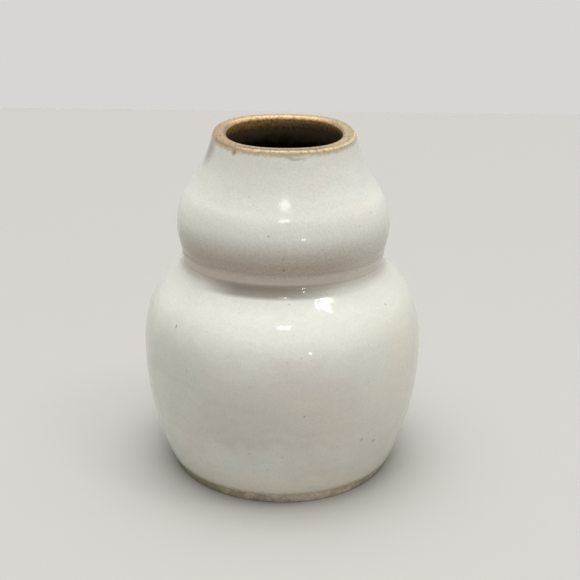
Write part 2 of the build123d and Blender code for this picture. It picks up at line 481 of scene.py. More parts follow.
def turned_ware_tree():
    """Turns an outline, drawn in XZ as a row of points, about Z, with the marks of hand and wheel."""
    tree = bpy.data.node_groups.new("Turned ware", "GeometryNodeTree")
    kinds = {"Outline": "Geometry", "Steps around": "Int", "Material": "Material"}
    labels = (
        "Outline", "Steps around", "Spiral depth", "Spiral pitch", "Wander", "Lip wave", "Lip level",
        "Lip tilt", "Lip sway", "Glaze wave", "Glaze line", "Seam wave", "Seam lift", "Seam level", "Seed",
        "Material",
    )
    for label in labels:
        kind = "NodeSocket" + kinds.get(label, "Float")
        tree.interface.new_socket(label, in_out="INPUT", socket_type=kind)
    tree.interface.new_socket("Ware", in_out="OUTPUT", socket_type="NodeSocketGeometry")
    given = add(tree, "NodeGroupInput").outputs

    # A grid with one row for each outline point, wound round the axis
    size = add(tree, "GeometryNodeAttributeDomainSize", {"Geometry": given["Outline"]}, component="MESH")
    rows = size.outputs["Point Count"]
    columns = add(tree, PLUS, (given["Steps around"], 1.0))
    last_row = add(tree, MINUS, (rows, 1.0))
    sides = {"Size X": 1.0, "Size Y": 1.0, "Vertices X": columns, "Vertices Y": rows}
    grid = add(tree, "GeometryNodeMeshGrid", sides)
    position = add(tree, "GeometryNodeInputPosition")
    place = add(tree, PARTS, (position,)).outputs
    row_share = add(tree, PLUS, (place["Y"], 0.5))
    row = add(tree, TIMES, (row_share, last_row))
    row = add(tree, "FunctionNodeFloatToInt", (row,), rounding_mode="ROUND")
    looked_up = {"Geometry": given["Outline"], "Value": position, "Index": row}
    sampled = add(tree, "GeometryNodeSampleIndex", looked_up, data_type="FLOAT_VECTOR", domain="POINT")
    drawn = add(tree, PARTS, (sampled,)).outputs
    turn = add(tree, TIMES_PLUS, (place["X"], 2 * pi, pi))
    cosine = add(tree, COSINE, (turn,))
    sine = add(tree, SINE, (turn,))

    # Throwing spiral: a shallow wave that climbs one pitch a turn, strong in places and gone in others
    turns_up = add(tree, OVER, (drawn["Z"], given["Spiral pitch"]))
    phase = add(tree, TIMES_PLUS, (turns_up, 2 * pi, turn))
    wave = add(tree, SINE, (phase,))
    band_place = add(tree, "ShaderNodeCombineXYZ", {"X": cosine, "Y": sine, "Z": turns_up})
    band_noise = {"Vector": band_place, "W": given["Seed"], "Scale": 0.6, "Detail": 2.0}
    band_swing = swinging(tree, band_noise, noise_dimensions="4D")
    spiral = add(tree, TIMES_PLUS, (wave, 0.25, band_swing))
    spiral_shift = add(tree, TIMES, (spiral, given["Spiral depth"]))

    # Out of round: slow noise on the unit circle and the height, gone near the axis
    slow_rise, axis_reach = 60 * MM, 12 * MM
    tall = add(tree, TIMES, (drawn["Z"], 1 / slow_rise))
    slow_place = add(tree, "ShaderNodeCombineXYZ", {"X": cosine, "Y": sine, "Z": tall})
    slow_noise = {"Vector": slow_place, "W": given["Seed"], "Scale": 0.9, "Detail": 1.0}
    slow_swing = swinging(tree, slow_noise, noise_dimensions="4D")
    shift = add(tree, TIMES_PLUS, (slow_swing, given["Wander"], spiral_shift))
    off_axis = add(tree, TIMES, (drawn["X"], 1 / axis_reach), use_clamp=True)
    radius = add(tree, TIMES_PLUS, (shift, off_axis, drawn["X"]))

    # Up and down: the lip is out of level
    ring_place = add(tree, "ShaderNodeCombineXYZ", {"X": cosine, "Y": sine, "Z": given["Seed"]})
    lip_swing = swinging(tree, {"Vector": ring_place, "Scale": 1.1, "Detail": 1.0})
    triple_turn = add(tree, TIMES, (turn, 3.0))
    sway = add(tree, SINE, (triple_turn,))
    lip_shift = add(tree, TIMES, (lip_swing, given["Lip wave"]))
    lip_shift = add(tree, TIMES_PLUS, (sine, given["Lip tilt"], lip_shift))
    lip_shift = add(tree, TIMES_PLUS, (sway, given["Lip sway"], lip_shift))
    lip_reach = 15 * MM
    below_lip = add(tree, PLUS, (given["Lip level"], -lip_reach))
    level = shifted(tree, drawn["Z"], lip_shift, drawn["Z"], below_lip, given["Lip level"])

    # The glaze's lower edge wanders
    edge_swing = swinging(tree, {"Vector": ring_place, "Scale": 3.4, "Detail": 2.0, "Roughness": 0.6})
    edge_shift = add(tree, TIMES, (edge_swing, given["Glaze wave"]))
    edge_reach = 4 * MM
    above_line = add(tree, PLUS, (given["Glaze line"], edge_reach))
    level = shifted(tree, level, edge_shift, drawn["Z"], given["Glaze line"], above_line, 1.0, 0.0)

    # The seam between the sections stands higher at the front and back than at the sides
    double_turn = add(tree, TIMES, (turn, -2.0))
    seam_swing = add(tree, COSINE, (double_turn,))
    seam_swing = add(tree, TIMES, (seam_swing, -1.0))
    swung = (seam_swing, given["Seam wave"], given["Seam lift"])
    seam_shift = add(tree, TIMES_PLUS, swung)
    off_seam = off_level(tree, drawn["Z"], given["Seam level"])
    seam_reach = 7 * MM
    level = shifted(tree, level, seam_shift, off_seam, 0.0, seam_reach, 1.0, 0.0)

    across = add(tree, TIMES, (radius, cosine))
    back = add(tree, TIMES, (radius, sine))
    final = add(tree, "ShaderNodeCombineXYZ", {"X": across, "Y": back, "Z": level})
    wound = add(tree, "GeometryNodeSetPosition", {"Geometry": grid, "Position": final})
    welded = add(tree, "GeometryNodeMergeByDistance", {"Geometry": wound, "Distance": MM / 1000})

    # Smooth all over, apart from edges that fold sharply
    smooth = add(tree, "GeometryNodeSetShadeSmooth", {"Geometry": welded})
    fold = add(tree, "GeometryNodeInputMeshEdgeAngle").outputs["Unsigned Angle"]
    crisp = add(tree, "FunctionNodeCompare", (fold, radians(50)), operation="GREATER_THAN")
    chosen = {"Geometry": smooth, "Selection": crisp, "Shade Smooth": False}
    edged = add(tree, "GeometryNodeSetShadeSmooth", chosen, domain="EDGE")
    real = add(tree, "GeometryNodeRealizeInstances", {"Geometry": edged})
    dressed = add(tree, "GeometryNodeSetMaterial", {"Geometry": real, "Material": given["Material"]})
    add(tree, "NodeGroupOutput", {"Ware": dressed})
    return tree


def turn_piece(name, points, material, glaze_wave=0.0):
    """Turn a closed outline into a plain mesh with the shared tree."""
    scene = bpy.context.scene
    form, hand = scene.vase_form, scene.vase_hand
    outline = bpy.data.meshes.new(name + "_outline")
    outline.from_pydata([(p.x, 0, p.y) for p in points], [(k, k + 1) for k in range(len(points) - 1)], [])
    piece = bpy.data.objects.new(name, outline)
    scene.collection.objects.link(piece)
    tree = bpy.data.node_groups.get("Turned ware") or turned_ware_tree()
    modifier = piece.modifiers.new("Turned ware", "NODES")
    modifier.node_group = tree
    # The tree's other inputs have the names of the hand's own values
    values = {
        "Lip level": form.height,
        "Glaze wave": glaze_wave,
        "Glaze line": form.bevel_height + form.bare_band,
        "Seam level": form.waist_height - form.collar_height / 2,
        "Seed": float(hand.seed),
        "Material": material,
    }
    for item in tree.interface.items_tree:
        own_name = item.name.lower().replace(" ", "_")
        if item.name in values:
            modifier[item.identifier] = values[item.name]
        elif hasattr(hand, own_name):
            modifier[item.identifier] = getattr(hand, own_name)
    evaluated = piece.evaluated_get(bpy.context.evaluated_depsgraph_get())
    mesh = bpy.data.meshes.new_from_object(evaluated)
    piece.modifiers.clear()
    piece.data = mesh
    mesh.name = name
    bpy.data.meshes.remove(outline)
    facing_out(mesh)
    return piece


def facing_out(mesh):
    """Turn every face outwards, and stop if the mesh isn't one closed solid."""
    shape = bmesh.new()
    shape.from_mesh(mesh)
    bmesh.ops.recalc_face_normals(shape, faces=shape.faces)
    if shape.calc_volume(signed=True) < 0:
        bmesh.ops.reverse_faces(shape, faces=shape.faces)
    open_edges = sum(not edge.is_manifold for edge in shape.edges)
    shape.to_mesh(mesh)
    shape.free()
    if open_edges:
        raise RuntimeError(f"{mesh.name} has {open_edges} open edges")


def set_in_frame(piece, node):
    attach(piece, BODY)
    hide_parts(node)


def new_material(name):
    material = bpy.data.materials.new(name)
    material.use_nodes = True
    material.node_tree.nodes.clear()
    return material, material.node_tree


def finished(tree, colour, roughness, ior, relief=None, depth=0.0, shine=None):
    """The shader that ends every material. Relief is a height from 0 to 1 that stands for the depth."""
    values = {"Base Color": colour, "Roughness": roughness, "IOR": ior}
    if relief is not None:
        bump = add(tree, "ShaderNodeBump", {"Height": relief, "Strength": 1.0, "Distance": depth})
        values["Normal"] = bump
    if shine is not None:
        values["Specular IOR Level"] = shine
    shader = add(tree, "ShaderNodeBsdfPrincipled", values)
    add(tree, "ShaderNodeOutputMaterial", {"Surface": shader})


def tones():
    """The chosen colours by name."""
    chosen = bpy.context.scene.vase_colours
    return {name: tuple(getattr(chosen, name)) for name in VaseColours.__annotations__}


def surface_place(azimuth, height):
    """The point on the glazed outside at an azimuth in degrees, from the front to the right, and a height."""
    wall = Wall(bpy.context.scene.vase_form)
    bends = [wall.lower, *wall.lower_bends, *wall.upper_bends, wall.flare]
    bend = next((b for b in bends if height <= point_on(b, 0, b.last).y), bends[-1])
    radius = point_on(bend, 0, angle_at(bend, 0, height)).x
    return Vector((radius * sin(radians(azimuth)), -radius * cos(radians(azimuth)), height))


def lip_height(tree, place, height):
    """The height, as if the lip ran level. The sway's sine of three turns is written in the sine of one."""
    hand = bpy.context.scene.vase_hand
    back = way_out(tree, place)["Y"]
    square = add(tree, TIMES, (back, back))
    rise = (square, -4 * hand.lip_sway, hand.lip_tilt + 3 * hand.lip_sway)
    rise = add(tree, TIMES_PLUS, rise)
    swing = add(tree, TIMES, (rise, back))
    return add(tree, MINUS, (height, swing))


def seam_height(tree, place, height):
    """The height, as if the seam at the waist ran level."""
    hand = bpy.context.scene.vase_hand
    aside = way_out(tree, place)["X"]
    square = add(tree, TIMES, (aside, aside))
    swing = (square, -2 * hand.seam_wave, hand.seam_wave + hand.seam_lift)
    swing = add(tree, TIMES_PLUS, swing)
    return add(tree, MINUS, (height, swing))


def spotted(tree, tint, place, spots, core):
    """The tint with soft spots. Each has an azimuth, a height, its reach across and up in millimetres, its
    colour and its strength, which is full in the core, a share of its reach."""
    for azimuth, level, across, up, name, strength in spots:
        centre = surface_place(azimuth, level * MM)
        away = add(tree, VECTOR_MINUS, (place, tuple(centre)))
        reach = (1 / (across * MM), 1 / (across * MM), 1 / (up * MM))
        scaled = add(tree, VECTOR_TIMES, (away, reach))
        distance = add(tree, VECTOR_LENGTH, (scaled,))
        tint = tinted(tree, tint, tones()[name], distance, core, 1.0, strength, 0.0)
    return tint


def thin_waist_and_painted_shade(tree, tint, place):
    """The tint at the waist, partly glaze wiped thin and partly painted shade: grey under the bulb, paler on
    the collar, and a dark painted shadow in the hollow below it, a little left of the front."""
    tone = tones()
    parts = add(tree, PARTS, (place,)).outputs
    level = seam_height(tree, place, parts["Z"])
    bottom, top = 69 * MM, 90 * MM
    share_up = add(tree, RANGE, (level, bottom, top))
    # Partly glaze wiped thin, partly painted shade: darker under the bulb and over the collar
    # Height in millimetres, colour and strength
    wiped = (
        (71.2, "collar", 0.0),
        (73.4, "collar", 0.95),
        (76.9, "collar", 0.9),
        (77.5, "waist", 1.0),
        (80.5, "waist", 1.0),
        (84.0, "waist", 0.6),
        (89.0, "waist", 0.0),
    )
    # Painted shadow in the hollow under the collar
    hollow = ((69.4, "root", 0.0), (70.3, "root", 0.85), (72.9, "root", 1.0), (74.4, "root", 0.0))
    # The painted shade is milder on the right, where the lamps reach the waist
    # From left to right, in millimetres: where it starts and ends, and its strength there
    milder, left_side, right_side = [
        add(tree, EASED_RANGE, (parts["X"], start * MM, end * MM, first, last))
        for start, end, first, last in ((12, 29, 1.0, 0.5), (-27, -13, 0.0, 1.0), (-1, 24, 1.0, 0.0))
    ]
    in_front = add(tree, TIMES, (left_side, right_side))
    for bands, extent in ((wiped, milder), (hollow, in_front)):
        stops = [((at * MM - bottom) / (top - bottom), (*tone[name][:3], alpha)) for at, name, alpha in bands]
        ramp = add(tree, RAMP, {"Fac": share_up}, stops=[stops[0], stops[-1], *stops[1:-1]])
        shown = add(tree, TIMES, (ramp.outputs["Alpha"], extent))
        tint = add(tree, COLOUR_MIX, {"Factor": shown, "A": tint, "B": ramp})
    return tint


def ironed(tree, tint, place, height):
    """The tint with iron bled through it: fine sand on the bulb, most of it low down, and small specks."""
    speck = tones()["speck"]
    sandy = add(tree, EASED_RANGE, (height, 80 * MM, 91 * MM, 1.0, 0.3))
    on_bulb = add(tree, ABOVE, (height, 76.5 * MM))
    sand = add(tree, TIMES, (sandy, on_bulb))
    grain = add(tree, NOISE, {"Vector": place, "Scale": 1 / (0.62 * MM), "Detail": 2.0, "Roughness": 0.8})
    grains = add(tree, RANGE, (grain, 0.46, 0.72, 0.0, 0.3))
    shown = add(tree, TIMES, (grains, sand))
    tint = add(tree, COLOUR_MIX, {"Factor": shown, "A": tint, "B": speck})

    # Cell size and speck radius in millimetres, share of the cells that have a speck, and strength
    for cell, radius, portion, strength in ((1.5, 0.24, 0.5, 0.26), (5.5, 0.45, 0.6, 0.32)):
        cells = add(tree, "ShaderNodeTexVoronoi", {"Vector": place, "Scale": 1 / (cell * MM)})
        draw = add(tree, "ShaderNodeSeparateColor", (cells.outputs["Color"],)).outputs[0]
        picked = add(tree, BELOW, (draw, portion))
        core, edge = 0.3 * radius / cell, radius / cell
        distance = cells.outputs["Distance"]
        dot = add(tree, EASED_RANGE, (distance, core, edge, strength, 0.0))
        shown = add(tree, TIMES, (picked, dot))
        tint = add(tree, COLOUR_MIX, {"Factor": shown, "A": tint, "B": speck})
    return tint


def speckled_cream_glaze():
    """Satin white stoneware glaze, dipped over an iron-bearing clay and fired in reduction. The eye sees warm
    cream with faint cool and rosy clouds, small iron specks, and a soft gloss on a skin like orange peel.
    Painted light and painted shade lie over the colour in places."""
    material, tree = new_material("speckled_cream_glaze")
    form, tone = bpy.context.scene.vase_form, tones()
    place = add(tree, "ShaderNodeTexCoord").outputs["Object"]
    height = add(tree, PARTS, (place,)).outputs["Z"]

    # The clouds' edges wander by a few millimetres
    eddies = add(tree, NOISE, {"Vector": place, "Scale": 1 / (9 * MM), "Detail": 3.0, "Roughness": 0.6})
    centred = add(tree, VECTOR_MINUS, (eddies.outputs["Color"], (0.5,) * 3))
    drifted = add(tree, VECTOR_TIMES_PLUS, (centred, (12 * MM,) * 3, place))
    clouds = add(tree, NOISE, {"Vector": drifted, "Scale": 1 / (34 * MM), "Detail": 2.0, "Roughness": 0.5})
    stops = [(0.28, tone["cool"]), (0.74, tone["blush"]), (0.5, tone["cream"])]
    tint = add(tree, RAMP, {"Fac": clouds}, stops=stops)

    # Where the dip ran thick or thin, first in clouds and then in small runs with firm edges. Among the
    # clouds are painted light, paler on the shoulder, the bulb's sides and by the foot, and painted shade,
    # darker on the lower belly and under the lip.
    clouds_and_painted_light = (
        (0, 104, 60, 20, "cream", 0.7),
        # Painted light: paler on the bulb's sides and the shoulder
        (-72, 92, 22, 22, "milk", 0.8),
        (74, 90, 24, 20, "milk", 0.9),
        (0, 62, 72, 13, "milk", 0.9),
        (-63, 62, 16, 10, "milk", 0.7),
        (52, 104, 12, 10, "cool", 0.6),
        (4, 43, 34, 13, "blush", 0.6),
        (12, 48, 16, 7, "mauve", 0.3),
        (-50, 45, 18, 20, "moss", 0.8),
        # Painted shade: darker on the lower belly and under the lip
        (-12, 31, 38, 17, "shade", 0.75),
        (-32, 45, 44, 14, "shade", 0.4),
        (-14, 107, 27, 8, "shade", 0.25),
        # Painted light on the belly's and the bulb's right, and by the foot over glaze pooled thick
        (62, 48, 30, 26, "foot_warm", 0.9),
        (50, 92, 22, 14, "milk", 0.4),
        (0, 8, 60, 7, "foot_warm", 0.8),
        (3, 113.0, 10, 1.8, "thin_shade", 0.5),
    )
    runs = ((-76, 111, 6, 8, "thin_shade", 0.7), (-40.8, 113.4, 1.5, 2.3, "iron", 0.95))
    tint = spotted(tree, tint, drifted, clouds_and_painted_light, 0.15)
    tint = spotted(tree, tint, place, runs, 0.15)
    # Painted shade at the waist, over glaze wiped thin
    tint = thin_waist_and_painted_shade(tree, tint, place)
    tint = ironed(tree, tint, place, height)
    larger_specks = (
        (-49.8, 58.6, 0.6, 1.1, "speck", 0.6),
        (-7.3, 91.0, 0.5, 0.5, "speck", 0.45),
        (0.6, 80.2, 0.9, 0.6, "speck", 0.45),
        (54.8, 64.9, 0.45, 0.6, "speck", 0.5),
        (9.1, 36.2, 0.5, 0.5, "speck", 0.4),
        (35.4, 23.3, 0.9, 0.9, "speck", 0.3),
        (42.8, 20.8, 1.0, 1.0, "speck", 0.3),
    )
    tint = spotted(tree, tint, place, larger_specks, 0.3)

    # Thin at the lip, where the clay burns through, and where it runs out over the foot
    ragged = add(tree, NOISE, {"Vector": place, "Scale": 1 / (1.6 * MM), "Detail": 3.0, "Roughness": 0.7})
    level = lip_height(tree, place, height)
    torn = add(tree, TIMES_PLUS, (ragged, 2.2 * MM, level))
    tint = tinted(tree, tint, tone["thin"], torn, form.height - 1.2 * MM, form.height + 0.3 * MM)
    running = add(tree, TIMES_PLUS, (ragged, 1.6 * MM, height))
    edge = form.bevel_height + form.bare_band
    tint = tinted(tree, tint, tone["run"], running, edge + 0.8 * MM, edge + 3.2 * MM, 0.9, 0.0)

    # Thickness bands left by the throwing rings, and the fine mottle of a satin glaze
    squeeze = (0.03 / MM, 0.03 / MM, 0.45 / MM)
    stretched = add(tree, VECTOR_TIMES, (drifted, squeeze))
    bands = add(tree, NOISE, {"Vector": stretched, "Scale": 1.0, "Detail": 3.0, "Roughness": 0.6})
    mottle = add(tree, NOISE, {"Vector": place, "Scale": 1 / (0.75 * MM), "Detail": 2.0, "Roughness": 0.7})
    both = add(tree, TIMES_PLUS, (bands, 0.8, mottle))
    span = (both, 0.5, 1.3, 0.93, 1.07)
    toned = add(tree, "ShaderNodeHueSaturation", {"Color": tint, "Value": add(tree, RANGE, span)})

    # Orange peel, stronger on the bulb than on the belly, with the gloss a little softer there
    peel = add(tree, NOISE, {"Vector": place, "Scale": 1 / (0.75 * MM), "Detail": 1.0, "Roughness": 0.5})
    coarse = add(tree, RANGE, (height, 74 * MM, 84 * MM, 0.6, 0.8))
    skin = add(tree, TIMES, (peel, coarse))
    satin = add(tree, RANGE, (coarse, 0.6, 0.8, 0.05, 0.1))

    # Thick and glassy where it pooled in the hollow under the collar
    pool_level = 71.1 * MM
    off_pool = off_level(tree, height, pool_level)
    glassy = add(tree, RANGE, (off_pool, 0.6 * MM, 1.4 * MM, 1.0, 0.5))
    finished(tree, toned, satin, 1.5, skin, 0.03 * MM, glassy)
    return material


def iron_lip_glaze():
    """The same glaze run thin over iron slip at the lip: taupe on the flat top, breaking to a pale crest on
    the edges and pooling glassy inside, where it meets the dark liner. Painted highlights lie along the crest
    and the inner edges, and painted light brightens the pooled glaze inside."""
    material, tree = new_material("iron_lip_glaze")
    form, tone = bpy.context.scene.vase_form, tones()
    place = add(tree, "ShaderNodeTexCoord").outputs["Object"]
    parts = add(tree, PARTS, (place,)).outputs
    flat = add(tree, VECTOR_TIMES, (place, (1, 1, 0)))
    radius = add(tree, VECTOR_LENGTH, (flat,))
    shift = swinging(tree, {"Vector": place, "Scale": 1 / (2.4 * MM), "Detail": 4.0, "Roughness": 0.65})

    # The way over the lip: up out of the mouth, across the flat top, and down outside
    height = lip_height(tree, place, parts["Z"])
    drop = add(tree, MINUS, (form.height, height))
    outer = add(tree, ABOVE, (radius, form.lip_radius - 2.5 * MM))
    sign = add(tree, TIMES_PLUS, (outer, 2.0, -1.0))
    unrolled = add(tree, TIMES_PLUS, (drop, sign, radius))
    worn = add(tree, TIMES_PLUS, (shift, 0.8 * MM, unrolled))
    first, last = form.lip_radius - 5.6 * MM, form.lip_radius + 0.9 * MM
    across = add(tree, RANGE, (worn, first, last))
    # The lip's inner edge, flat, groove, crest and outer edge: in front, on the left, behind and on the
    # right. The inner edges and the crest carry painted highlights and sheen on top of the glaze's colour.
    ways = (
        ("pale_edge", "taupe", "taupe_dark", "gold", "thin"),
        ("umber", "tan", "rust", "rust", "taupe"),
        ("caramel", "honey", "honey", "gold", "honey"),
        ("taupe", "olive", "olive_dark", "gold", "gold"),
    )
    # How far across each of them starts and ends
    reaches = ((0.14, 0.3), (0.38,), (0.55, 0.73), (0.78, 0.85), (0.91,))
    tops = []
    for way in ways:
        # Just inside the mouth, a warm brown with painted light on it
        stops = [(0.06, tone["caramel"]), (1.0, tone["thin"])]
        stops += [(stop, tone[name]) for name, reach in zip(way, reaches) for stop in reach]
        tops.append(add(tree, RAMP, {"Fac": across}, stops=stops))
    tint = tinted(tree, tops[0], tops[1], parts["X"], -10 * MM, -18 * MM)
    tint = tinted(tree, tint, tops[2], parts["Y"], 3 * MM, 15 * MM)
    tint = tinted(tree, tint, tops[3], parts["X"], 9 * MM, 19 * MM)

    # Inside it is orange-brown on one side, made brighter with painted light, and greyer on the other, and
    # darkens downwards to brown with a painted sheen
    pooled = tinted(tree, tone["amber"], tone["olive"], parts["X"], -9 * MM, 9 * MM)
    sunk = add(tree, TIMES_PLUS, (shift, 3.0 * MM, height))
    wall = tinted(tree, tone["umber"], pooled, sunk, form.height - 4.6 * MM, form.height - 2.0 * MM)
    low, high = form.height - 2.8 * MM, form.height - 1.6 * MM
    below = add(tree, EASED_RANGE, (height, low, high, 1.0, 0.0))
    within = add(tree, BELOW, (radius, form.lip_radius - 2 * MM))
    inside = add(tree, TIMES, (below, within))
    tint = add(tree, COLOUR_MIX, {"Factor": inside, "A": tint, "B": wall})

    # Iron crystals and burnt spots
    grit = add(tree, NOISE, {"Vector": place, "Scale": 1 / (0.9 * MM), "Detail": 3.0, "Roughness": 0.75})
    tint = tinted(tree, tint, tone["iron"], grit, 0.54, 0.7, 0.0, 0.5)
    span = (grit, 0.34, 0.62, 1.35, 0.78)
    toned = add(tree, "ShaderNodeHueSaturation", {"Color": tint, "Value": add(tree, RANGE, span)})

    # Glassier at the back, where it melted most
    glassy = add(tree, EASED_RANGE, (parts["Y"], 0.0, 18 * MM, 0.5, 1.0))
    finished(tree, toned, 0.22, 1.52, grit, 0.12 * MM, glassy)
    return material


def dark_liner_glaze():
    """Iron-saturated dark brown glaze, poured in and out. It is glossy, nearly black below, and lighter brown
    by the mouth, where that lightness is a painted sheen."""
    material, tree = new_material("dark_liner_glaze")
    form, tone = bpy.context.scene.vase_form, tones()
    place = add(tree, "ShaderNodeTexCoord").outputs["Object"]
    height = add(tree, PARTS, (place,)).outputs["Z"]
    # Lighter towards the mouth: a painted sheen over the dark glaze
    runs = add(tree, NOISE, {"Vector": place, "Scale": 1 / (5 * MM), "Detail": 4.0, "Roughness": 0.6})
    level = add(tree, TIMES_PLUS, (runs, 6 * MM, height))
    tint = tinted(tree, tone["black"], tone["umber"], level, form.height - 8 * MM, form.height - 1.5 * MM)
    peel = add(tree, NOISE, {"Vector": place, "Scale": 1 / (1.8 * MM), "Detail": 2.0})
    finished(tree, tint, 0.16, 1.52, peel, 0.1 * MM)
    return material


def toasted_stoneware():
    """Bare groggy stoneware, turned on the wheel and fired in reduction: dull olive buff with scorched
    patches and fine grit. Its colour is made paler than it is, a painted light where the bevel faces down
    into shade."""
    material, tree = new_material("toasted_stoneware")
    tone = tones()
    place = add(tree, "ShaderNodeTexCoord").outputs["Object"]
    scorch = add(tree, NOISE, {"Vector": place, "Scale": 1 / (9 * MM), "Detail": 4.0, "Roughness": 0.65})
    # Paler near the front, a little to the right, and darker towards the sides: partly scorch and partly
    # painted shade
    off_front = off_level(tree, add(tree, PARTS, (place,)).outputs["X"], 8 * MM)
    leaning = add(tree, TIMES_PLUS, (off_front, 0.008 / MM, scorch))
    tint = tinted(tree, tone["clay"], tone["clay_dark"], leaning, 0.48, 0.74)
    grog = add(tree, "ShaderNodeTexVoronoi", {"Vector": place, "Scale": 1 / (0.9 * MM)})
    pale = add(tree, "ShaderNodeSeparateColor", (grog.outputs["Color"],)).outputs[0]
    value = add(tree, RANGE, (pale, 0.0, 1.0, 0.86, 1.12))
    toned = add(tree, "ShaderNodeHueSaturation", {"Color": tint, "Value": value})
    rough = add(tree, NOISE, {"Vector": place, "Scale": 1 / (0.5 * MM), "Detail": 3.0, "Roughness": 0.7})
    finished(tree, toned, 0.8, 1.5, rough, 0.08 * MM)
    return material


def plain_material(name, plain_colour, roughness):
    """One colour all over: the slip, dull and unglazed, and the matt floor."""
    material, tree = new_material(name)
    finished(tree, plain_colour, roughness, 1.5)
    return material


class MakeOuterGlaze(bpy.types.Operator):
    """The cream coat outside, from its rolled edge over the bare foot up to the lip"""

    bl_idname = "vase.make_outer_glaze"
    bl_label = "Outer glaze"

    def execute(self, context):
        form, hand = context.scene.vase_form, context.scene.vase_hand
        wall = Wall(form)
        glaze_line = form.bevel_height + form.bare_band
        clay_end = angle_at(wall.lower, wall.clay_face, glaze_line)
        roll_end = angle_at(wall.lower, 0, glaze_line + form.glaze)
        roll_centre = point_on(wall.lower, wall.clay_face, roll_end)
        roll_ways = [outward(roll_end - RIGHT_ANGLE * (1 - k / ROLL_STEPS)) for k in range(1, ROLL_STEPS)]
        roll = [roll_centre + way * form.glaze for way in roll_ways]
        # The waist, up to a quarter of the bulb's underside, has a finer mesh for its marks
        fine, finest, coarse = hand.fine_step, hand.fine_step / 4, hand.coarse_step
        middle = wall.underside.first + (wall.underside.last - wall.underside.first) * 0.25
        below = along([wall.lower._replace(first=roll_end), wall.belly, wall.shoulder], 0, fine)
        waist = along([wall.root, wall.crease, wall.underside._replace(last=middle)], 0, finest)
        waist = seamed(joined(waist, finest), form, hand)
        above = along([wall.underside._replace(first=middle), wall.bulb, wall.flare], 0, fine)
        backed = [wall.lower._replace(first=clay_end), *wall.lower_bends, *wall.upper_bends, wall.flare]
        inside = along(backed, wall.clay_face, coarse)
        outline = joined([inside[0], *roll, *below, *waist, *above], fine) + joined(inside[::-1], coarse)
        piece = turn_piece("cream_coat", outline, speckled_cream_glaze(), hand.glaze_wave)
        set_in_frame(piece, "outer_glaze")
        return {"FINISHED"}


class MakeLipGlaze(bpy.types.Operator):
    """The iron glaze over the lip and a little way down inside"""

    bl_idname = "vase.make_lip_glaze"
    bl_label = "Lip glaze"

    def execute(self, context):
        form, hand = context.scene.vase_form, context.scene.vase_hand
        wall = Wall(form)
        inside = wall.inner_flare._replace(first=wall.inner_flare.last, last=wall.liner_end)
        step = hand.fine_step / 2
        top = joined([point_on(edge, 0, RIGHT_ANGLE) for edge in (wall.lip_edge, wall.mouth_edge)], step)
        middle, half_width = (top[0].x + top[-1].x) / 2, (top[0].x - top[-1].x) / 2
        for point in top:
            point.y -= hand.lip_groove * bulge(point.x - middle, half_width)
        surface = along([wall.lip_edge], 0, step) + top + along([wall.mouth_edge], 0, step)
        surface += along([inside], wall.inner_glaze, step)
        backing = along([wall.lip_edge, wall.mouth_edge], wall.clay_face, step)
        backing += along([inside], wall.inner_clay, hand.coarse_step)
        outline = joined([*surface, *backing[::-1], surface[0]], step)
        piece = turn_piece("iron_lip", outline, iron_lip_glaze())
        set_in_frame(piece, "lip_glaze")
        return {"FINISHED"}


class MakeLiner(bpy.types.Operator):
    """The dark glaze poured inside, down the wall and across the floor"""

    bl_idname = "vase.make_liner"
    bl_label = "Liner glaze"

    def execute(self, context):
        form, hand = context.scene.vase_form, context.scene.vase_hand
        wall = Wall(form)
        flare = wall.flare._replace(last=wall.liner_end)
        bends = [wall.corner, wall.inner_lower, *wall.lower_bends, *wall.upper_bends, flare]
        fine, coarse = 2 * hand.fine_step, hand.coarse_step
        surface = [Vector((0, form.floor_level + form.glaze))] + along(bends, wall.inner_glaze, fine)
        backing = [Vector((0, form.floor_level))] + along(bends, wall.inner_clay, coarse)
        outline = joined(surface, fine) + joined(backing[::-1], coarse)
        piece = turn_piece("dark_liner", outline, dark_liner_glaze())
        set_in_frame(piece, "liner_glaze")
        return {"FINISHED"}


class MakeClay(bpy.types.Operator):
    """The two thrown sections of bare clay: the lower one with its turned foot, and the upper one"""

    bl_idname = "vase.make_clay"
    bl_label = "Clay sections"

    def execute(self, context):
        wall = Wall(context.scene.vase_form)
        clay = toasted_stoneware()
        self.make_lower(wall, context.scene.vase_hand, clay)
        self.make_upper(wall, context.scene.vase_hand.coarse_step, clay)
        return {"FINISHED"}

    def make_lower(self, wall, hand, clay):
        form = wall.form
        bevel_top = angle_at(wall.lower, wall.clay_face, form.bevel_height)
        ring_outside = point_on(wall.lower, wall.clay_face, bevel_top).x - form.bevel_width
        ring_inside = ring_outside - form.ring_width
        bends = [wall.lower._replace(first=bevel_top), *wall.lower_bends]
        outside = along(bends, wall.clay_face, hand.coarse_step)
        turned = [
            Vector((0, form.recess_depth)),
            Vector((ring_inside - form.recess_slope, form.recess_depth)),
            Vector((ring_inside, 0)),
            Vector((ring_outside, 0)),
            *outside[:2],
        ]
        foot = softened(turned, form.turned_edge)
        inside = along([wall.corner, wall.inner_lower, *wall.lower_bends], wall.inner_clay, hand.coarse_step)
        rest = [*outside[1:], *wall.socket, *inside[::-1], Vector((0, form.floor_level))]
        outline = joined(foot, hand.fine_step) + joined(rest, hand.coarse_step)
        set_in_frame(turn_piece("lower_section", outline, clay), "lower_chamber")

    def make_upper(self, wall, step, clay):
        bends = [*wall.upper_bends, wall.flare, wall.lip_edge, wall.mouth_edge]
        outside = along(bends, wall.clay_face, step)
        inside = along([*wall.upper_bends, wall.inner_flare], wall.inner_clay, step)
        outline = joined([*wall.spigot, *outside, *inside[::-1], wall.spigot[0]], step)
        set_in_frame(turn_piece("upper_section", outline, clay), "upper_chamber")


